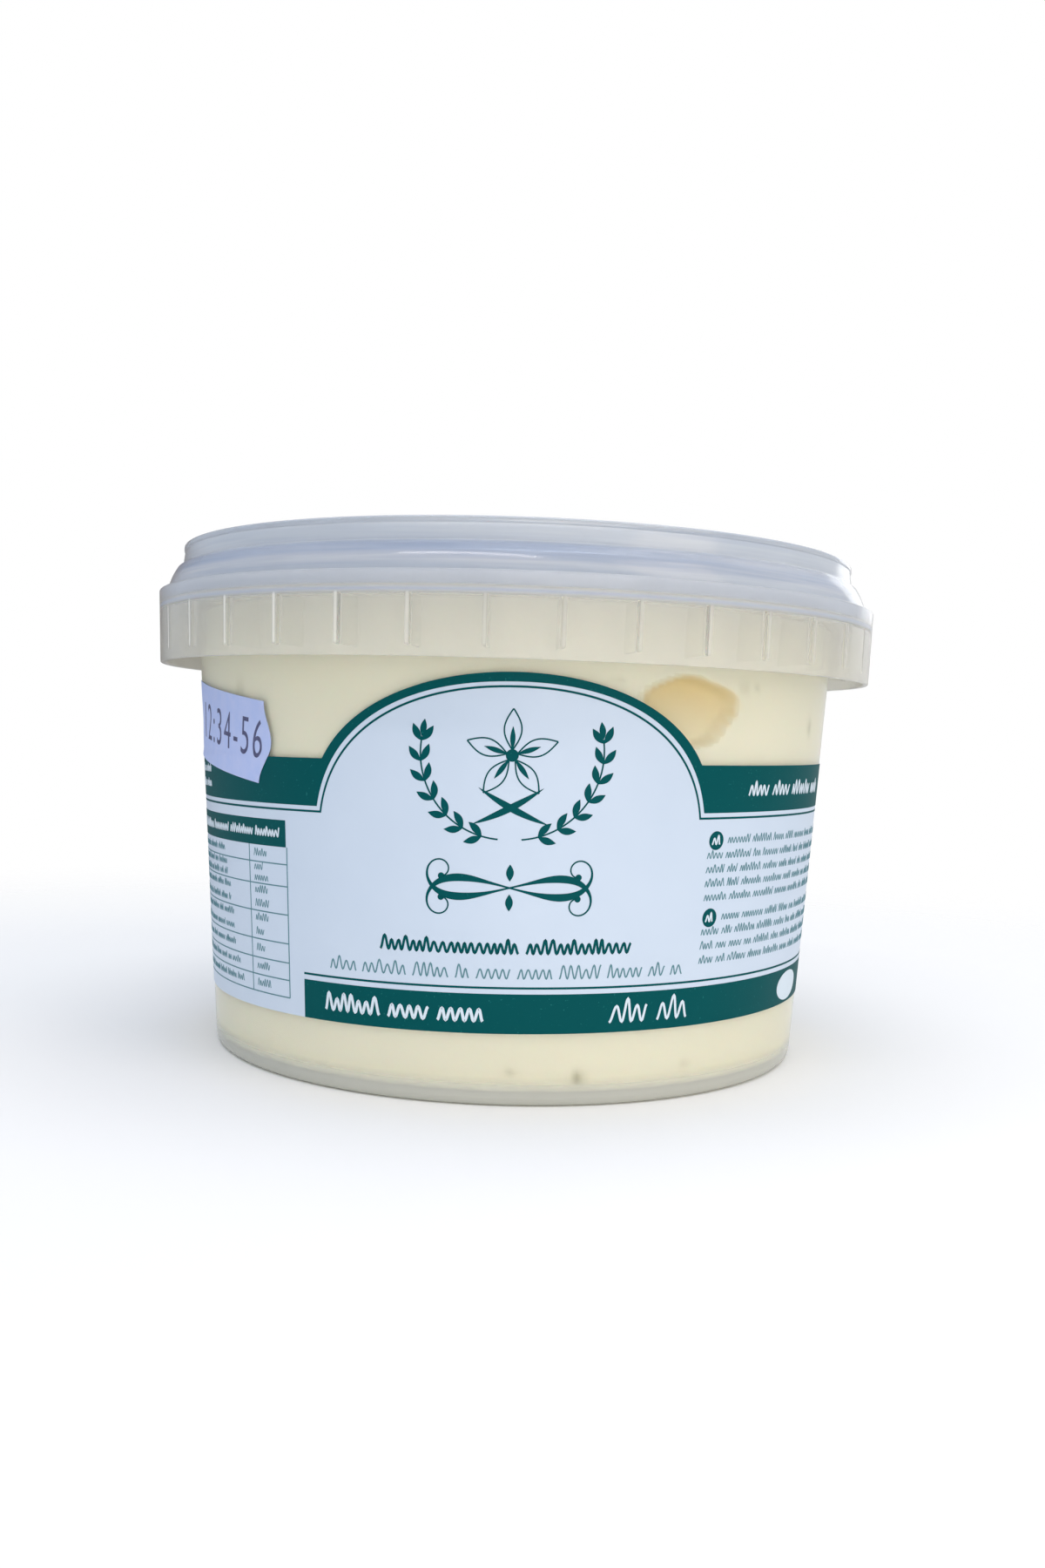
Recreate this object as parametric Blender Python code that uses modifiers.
"""A clear plastic tub of vanilla ice cream with a press-on lid, a wrap label and a date sticker.

Metres, +Z up. The origin is the centre of the base, on the surface that the tub stands on.
The front of the label faces -Y.
"""

import math

import bmesh
import bpy
from mathutils import Matrix

MM = 0.001
STEPS = 60  # sides of a turned piece
SEAM_MERGE = 0.01 * MM
SHARP_ANGLE = math.radians(28)

# Pot: one moulding, a tapered wall with a foot, a rim, a flange and a ribbed collar
CORNER_RADIUS = 1.45 * MM
WALL_AT_CORNER = 48.5 * MM  # outer radius where the wall leaves the bottom corner
WALL_TAPER = 0.066  # growth of the radius for each unit of height
WALL = 0.8 * MM
FLOOR_TOP = 2.0 * MM
FLOOR_UNDERSIDE = 1.0 * MM
FLOOR_FILLET = 1.2 * MM
FOOT_INNER = 44.0 * MM
FOOT_CHAMFER = 0.6 * MM
COLLAR_BOTTOM = 61.2 * MM
COLLAR_TOP = 72.6 * MM
COLLAR_RADIUS_BOTTOM = 58.84 * MM
COLLAR_RADIUS_TOP = 59.25 * MM
COLLAR_WALL = 0.85 * MM
COLLAR_EDGE = 0.2 * MM
FLANGE_UNDERSIDE = 69.5 * MM
FLANGE_TOP = 70.4 * MM
RIM_TOP = 78.6 * MM
RIM_BEAD = 0.6 * MM
RIM_BEAD_HEIGHT = 1.8 * MM

RIBS = 36
FIRST_RIB = 6.0  # degrees from +X
RIB_THICKNESS = 0.7 * MM
RIB_BOTTOM = 62.8 * MM
RIB_SINK = 0.4 * MM  # how far a rib is joined into the wall and into the collar

# Lid: one moulding, a sunken panel in a ring, and a skirt that slopes out to the collar
GAP = 0.3 * MM  # clearance between neighbouring pieces
LID_TOP = 80.0 * MM
LID_WALL = 1.0 * MM
PANEL_TOP = 75.6 * MM
RING_RADIUS = 55.65 * MM
RING_LEAN = 0.2 * MM
RING_BOTTOM = 76.8 * MM
RING_ROUNDING = 0.6 * MM
RING_INNER = 51.3 * MM
RING_DRAFT = 0.4 * MM
SHOULDER_RADIUS = 56.5 * MM
SHOULDER_HEIGHT = 76.3 * MM
SKIRT_RADIUS = 57.95 * MM
SKIRT_BEND = 73.0 * MM
CATCH_RADIUS = 53.85 * MM
CATCH_HEIGHT = 76.2 * MM

# Ice cream, filled soft and frozen hard, with an air pocket against the wall
FILL_TOP = 72.5 * MM
FILL_EDGE = 1.2 * MM
POCKET_ANGLE = 28.7  # degrees from the front towards +X
POCKET_HEIGHT = 55.5 * MM
POCKET_HALF_WIDTH = 7.6 * MM
POCKET_HALF_HEIGHT = 4.8 * MM
POCKET_DEPTH = 1.8 * MM

# Label, in print lengths: along the wall at PRINT_RADIUS, and up
PRINT_RADIUS = 50.6 * MM
LABEL_TILT = 0.7 * MM  # the label sits this much higher at +X and lower at -X
LABEL_THICKNESS = 0.25 * MM
LABEL_BOTTOM = 10.35 * MM
LABEL_TOP = 47.6 * MM
LABEL_BACK_GAP = 6.0 * MM
LABEL_STEP = 3.2 * MM
ARCH_CENTRE = 40.8 * MM
ARCH_HALF_WIDTH = 29.3 * MM
ARCH_HEIGHT = 19.0 * MM
ARCH_STEPS = 28

# Date sticker, of the kind that a hand labeller lays down, with two wavy ends
STICKER_LENGTH = 28.0 * MM
STICKER_HEIGHT = 12.0 * MM
STICKER_THICKNESS = 0.2 * MM
STICKER_WAVE = 1.1 * MM
STICKER_ALONG = -52.3 * MM
STICKER_UP = 51.3 * MM
STICKER_TURN = math.radians(-7.6)
STICKER_COLUMNS = 10
STICKER_ROWS = 8


def clear_scene():
    """Removes the objects that the file starts with."""
    for found in list(bpy.data.objects):
        bpy.data.objects.remove(found, do_unlink=True)


def new_collection(name):
    collection = bpy.data.collections.new(name)
    bpy.context.scene.collection.children.link(collection)
    return collection


def material(name, colour, roughness):
    """A plain plastic, paper or food finish."""
    made = bpy.data.materials.new(name)
    made.use_nodes = True
    shader = made.node_tree.nodes["Principled BSDF"]
    shader.inputs["Base Color"].default_value = (*colour, 1.0)
    shader.inputs["Roughness"].default_value = roughness
    shader.inputs["Metallic"].default_value = 0.0
    made.diffuse_color = (*colour, 1.0)
    return made


def wall_radius(height):
    """Outer radius of the pot's wall at a height."""
    return WALL_AT_CORNER + WALL_TAPER * (height - CORNER_RADIUS)


def arc(centre, radius, start, end, count):
    """Points on an arc of a profile, from one angle to another, in degrees."""
    points = []
    for index in range(count + 1):
        angle = math.radians(start + (end - start) * index / count)
        points.append((centre[0] + radius * math.cos(angle), centre[1] + radius * math.sin(angle)))
    return points


def turned(name, profile, finish, collection):
    """A piece turned about Z from (radius, height) points, which run down its outer side."""
    mesh = bpy.data.meshes.new(name)
    points = [(radius, 0.0, height) for radius, height in profile]
    edges = [(index, index + 1) for index in range(len(points) - 1)]
    mesh.from_pydata(points, edges, [])
    mesh.materials.append(finish)
    piece = bpy.data.objects.new(name, mesh)
    collection.objects.link(piece)
    screw = piece.modifiers.new("turn", "SCREW")
    screw.axis = "Z"
    screw.angle = math.tau
    screw.steps = STEPS
    screw.render_steps = STEPS
    screw.use_merge_vertices = True
    screw.merge_threshold = SEAM_MERGE
    return piece


def boolean(piece, operation, other):
    cut = piece.modifiers.new(operation.lower(), "BOOLEAN")
    cut.operation = operation
    cut.solver = "EXACT"
    cut.object = other


def helper(name, shapes, collection):
    """An object that a Boolean reads, made from the shapes and left out of the model."""
    mesh = bpy.data.meshes.new(name)
    shapes.to_mesh(mesh)
    shapes.free()
    made = bpy.data.objects.new(name, mesh)
    made.hide_render = True
    made.display_type = "WIRE"
    collection.objects.link(made)
    return made


def settle(piece):
    """Applies the modifiers, and shades the piece smooth with its corners kept sharp."""
    graph = bpy.context.evaluated_depsgraph_get()
    mesh = bpy.data.meshes.new_from_object(piece.evaluated_get(graph))
    piece.modifiers.clear()
    piece.data = mesh
    mesh.name = piece.name
    mesh.shade_smooth()
    mesh.set_sharp_from_angle(angle=SHARP_ANGLE)


def pot_profile():
    """Section of the pot, from the middle of its floor, over the rim and down to its foot."""
    inner_corner = wall_radius(FLOOR_TOP) - WALL - FLOOR_FILLET
    rim_inner = wall_radius(RIM_TOP) - WALL
    bead_radius = wall_radius(RIM_TOP) + RIM_BEAD
    collar_inner_bottom = COLLAR_RADIUS_BOTTOM - COLLAR_WALL
    collar_inner_top = COLLAR_RADIUS_TOP - COLLAR_WALL
    foot = WALL_AT_CORNER - CORNER_RADIUS
    points = [(0.0, FLOOR_TOP)]
    points += arc((inner_corner, FLOOR_TOP + FLOOR_FILLET), FLOOR_FILLET, -90, 0, 3)
    points += [
        (rim_inner, RIM_TOP - COLLAR_EDGE),
        (rim_inner + COLLAR_EDGE, RIM_TOP),
        (bead_radius - 2 * COLLAR_EDGE, RIM_TOP),
        (bead_radius, RIM_TOP - RIM_BEAD),
        (bead_radius, RIM_TOP - RIM_BEAD_HEIGHT + RIM_BEAD),
        (wall_radius(RIM_TOP - RIM_BEAD_HEIGHT), RIM_TOP - RIM_BEAD_HEIGHT),
        (wall_radius(FLANGE_TOP), FLANGE_TOP),
        (collar_inner_top - COLLAR_EDGE, FLANGE_TOP),
        (collar_inner_top, COLLAR_TOP),
        (COLLAR_RADIUS_TOP - COLLAR_EDGE, COLLAR_TOP),
        (COLLAR_RADIUS_TOP, COLLAR_TOP - COLLAR_EDGE),
        (COLLAR_RADIUS_BOTTOM, COLLAR_BOTTOM),
        (collar_inner_bottom, COLLAR_BOTTOM),
        (collar_inner_top - COLLAR_EDGE, FLANGE_UNDERSIDE),
        (wall_radius(FLANGE_UNDERSIDE), FLANGE_UNDERSIDE),
    ]
    points += arc((foot, CORNER_RADIUS), CORNER_RADIUS, 0, -90, 4)
    points += [
        (FOOT_INNER, 0.0),
        (FOOT_INNER - FOOT_CHAMFER, FLOOR_UNDERSIDE),
        (0.0, FLOOR_UNDERSIDE),
    ]
    return points


def rib_cutter(collection):
    """The thin upright plates between the wall and the collar, under the flange."""
    inner = wall_radius(RIB_BOTTOM) - RIB_SINK / 2
    outer = COLLAR_RADIUS_BOTTOM - RIB_SINK
    top = (FLANGE_UNDERSIDE + FLANGE_TOP) / 2
    shapes = bmesh.new()
    for index in range(RIBS):
        angle = math.radians(FIRST_RIB + index * 360 / RIBS)
        plate = bmesh.ops.create_cube(shapes, size=1.0)["verts"]
        bmesh.ops.scale(shapes, verts=plate, vec=(outer - inner, RIB_THICKNESS, top - RIB_BOTTOM))
        bmesh.ops.translate(
            shapes, verts=plate, vec=((inner + outer) / 2, 0.0, (top + RIB_BOTTOM) / 2)
        )
        bmesh.ops.rotate(shapes, verts=plate, matrix=Matrix.Rotation(angle, 3, "Z"))
    return helper("ribs", shapes, collection)


def make_tub(collection, helpers):
    clear_plastic = material("tub_polypropylene", (0.72, 0.74, 0.74), 0.35)
    tub = turned("tub", pot_profile(), clear_plastic, collection)
    ribs = rib_cutter(helpers)
    boolean(tub, "UNION", ribs)
    settle(tub)
    bpy.data.objects.remove(ribs, do_unlink=True)


def lid_profile():
    """Section of the lid, over its ring, down its skirt and back under the panel."""
    plug_top = wall_radius(RIM_TOP) - WALL - GAP
    plug_bottom = wall_radius(PANEL_TOP) - WALL - GAP
    skirt_inner = SKIRT_RADIUS - LID_WALL
    ring_top = RING_RADIUS - RING_LEAN
    points = [(0.0, PANEL_TOP), (RING_INNER - RING_DRAFT - RING_ROUNDING, PANEL_TOP)]
    points += [
        (RING_INNER - RING_DRAFT, PANEL_TOP + RING_ROUNDING),
        (RING_INNER, LID_TOP - RING_ROUNDING),
        (RING_INNER + RING_ROUNDING, LID_TOP),
    ]
    points += arc((ring_top - RING_ROUNDING, LID_TOP - RING_ROUNDING), RING_ROUNDING, 90, 0, 3)
    points += [
        (RING_RADIUS, RING_BOTTOM),
        (SHOULDER_RADIUS, SHOULDER_HEIGHT),
        (SKIRT_RADIUS, SKIRT_BEND),
        (SKIRT_RADIUS, FLANGE_TOP + GAP),
        (skirt_inner, FLANGE_TOP + GAP),
        (skirt_inner, SKIRT_BEND - RING_DRAFT),
        (SHOULDER_RADIUS - LID_WALL, SHOULDER_HEIGHT - LID_WALL),
        (CATCH_RADIUS, CATCH_HEIGHT - RING_ROUNDING),
        (CATCH_RADIUS, CATCH_HEIGHT),
        (RING_RADIUS - LID_WALL, RING_BOTTOM + RING_DRAFT),
        (ring_top - LID_WALL, LID_TOP - LID_WALL),
        (plug_top, LID_TOP - LID_WALL),
        (plug_bottom, PANEL_TOP),
        (plug_bottom - LID_WALL, PANEL_TOP - LID_WALL),
        (0.0, PANEL_TOP - LID_WALL),
    ]
    return points


def make_lid(collection):
    milky_plastic = material("lid_polypropylene", (0.62, 0.66, 0.72), 0.35)
    settle(turned("lid", lid_profile(), milky_plastic, collection))


def make_ice_cream(collection, helpers):
    """The filling, a little inside the wall all round, with the air pocket pressed into it."""
    vanilla = material("vanilla_ice_cream", (0.82, 0.76, 0.52), 0.55)
    sink = WALL + GAP
    bottom = FLOOR_TOP + GAP
    corner = wall_radius(bottom) - sink - FLOOR_FILLET
    edge = wall_radius(FILL_TOP) - sink
    points = [(0.0, FILL_TOP), (edge - FILL_EDGE, FILL_TOP), (edge, FILL_TOP - FILL_EDGE)]
    points += arc((corner, bottom + FLOOR_FILLET), FLOOR_FILLET, 0, -90, 3)
    points.append((0.0, bottom))
    filling = turned("ice_cream", points, vanilla, collection)

    angle = math.radians(POCKET_ANGLE)
    reach = wall_radius(POCKET_HEIGHT) - sink
    shape = bmesh.new()
    ball = bmesh.ops.create_uvsphere(shape, u_segments=20, v_segments=12, radius=1.0)["verts"]
    bmesh.ops.scale(shape, verts=ball, vec=(POCKET_HALF_WIDTH, POCKET_DEPTH, POCKET_HALF_HEIGHT))
    bmesh.ops.translate(shape, verts=ball, vec=(0.0, -reach, POCKET_HEIGHT))
    bmesh.ops.rotate(shape, verts=ball, matrix=Matrix.Rotation(angle, 3, "Z"))
    pocket = helper("air_pocket", shape, helpers)
    boolean(filling, "DIFFERENCE", pocket)
    settle(filling)
    bpy.data.objects.remove(pocket, do_unlink=True)


def on_wall(along, up, clearance):
    """The point above the wall for a place on the label, in print lengths."""
    angle = along / PRINT_RADIUS
    height = up + LABEL_TILT * math.sin(angle)
    radius = wall_radius(height) + clearance
    return (radius * math.sin(angle), -radius * math.cos(angle), height)


def laid_sheet(name, rows, clearance, thickness, finish, collection):
    """A thin sheet laid round the wall from rows of (along, up) places, the lowest row first."""
    shape = bmesh.new()
    grid = [[shape.verts.new(on_wall(*place, clearance)) for place in row] for row in rows]
    for lower, upper in zip(grid, grid[1:]):
        for index in range(len(lower) - 1):
            shape.faces.new((lower[index], lower[index + 1], upper[index + 1], upper[index]))
    mesh = bpy.data.meshes.new(name)
    shape.to_mesh(mesh)
    shape.free()
    mesh.materials.append(finish)
    sheet = bpy.data.objects.new(name, mesh)
    collection.objects.link(sheet)
    wall = sheet.modifiers.new("thickness", "SOLIDIFY")
    wall.thickness = thickness
    wall.offset = 1.0
    settle(sheet)


def label_top(along):
    """Upper edge of the label: a level band with a semi-elliptical arch over its front."""
    if abs(along) >= ARCH_HALF_WIDTH:
        return LABEL_TOP
    arch = ARCH_CENTRE + ARCH_HEIGHT * math.sqrt(1.0 - (along / ARCH_HALF_WIDTH) ** 2)
    return max(LABEL_TOP, arch)


def make_label(collection):
    paper = material("label_paper", (0.72, 0.79, 0.90), 0.5)
    shoulder = math.sqrt(1.0 - ((LABEL_TOP - ARCH_CENTRE) / ARCH_HEIGHT) ** 2) * ARCH_HALF_WIDTH
    end = math.pi * PRINT_RADIUS - LABEL_BACK_GAP / 2
    side_steps = math.ceil((end - shoulder) / LABEL_STEP)
    side = [shoulder + (end - shoulder) * index / side_steps for index in range(1, side_steps + 1)]
    places = [-along for along in reversed(side)]
    for index in range(ARCH_STEPS + 1):
        sweep = math.pi * (index / ARCH_STEPS - 0.5)
        places.append(shoulder * math.sin(sweep))
    places += side
    rows = [[(along, LABEL_BOTTOM) for along in places]]
    rows.append([(along, label_top(along)) for along in places])
    laid_sheet("label", rows, GAP, LABEL_THICKNESS, paper, collection)


def make_date_sticker(collection):
    paper = material("sticker_paper", (0.70, 0.73, 0.88), 0.5)
    along_step = STICKER_LENGTH / STICKER_COLUMNS
    up_step = STICKER_HEIGHT / STICKER_ROWS
    rows = []
    for row in range(STICKER_ROWS + 1):
        up = row * up_step - STICKER_HEIGHT / 2
        wave = STICKER_WAVE * math.cos(math.tau * up / STICKER_HEIGHT)
        places = []
        for column in range(STICKER_COLUMNS + 1):
            along = column * along_step - STICKER_LENGTH / 2 + wave
            places.append((
                STICKER_ALONG + along * math.cos(STICKER_TURN) - up * math.sin(STICKER_TURN),
                STICKER_UP + along * math.sin(STICKER_TURN) + up * math.cos(STICKER_TURN),
            ))
        rows.append(places)
    clearance = GAP + LABEL_THICKNESS + GAP
    laid_sheet("date_sticker", rows, clearance, STICKER_THICKNESS, paper, collection)


def main():
    clear_scene()
    parts = new_collection("ice_cream_tub")
    helpers = new_collection("ice_cream_tub_helpers")
    make_tub(parts, helpers)
    make_lid(parts)
    make_ice_cream(parts, helpers)
    make_label(parts)
    make_date_sticker(parts)
    bpy.data.collections.remove(helpers)


main()
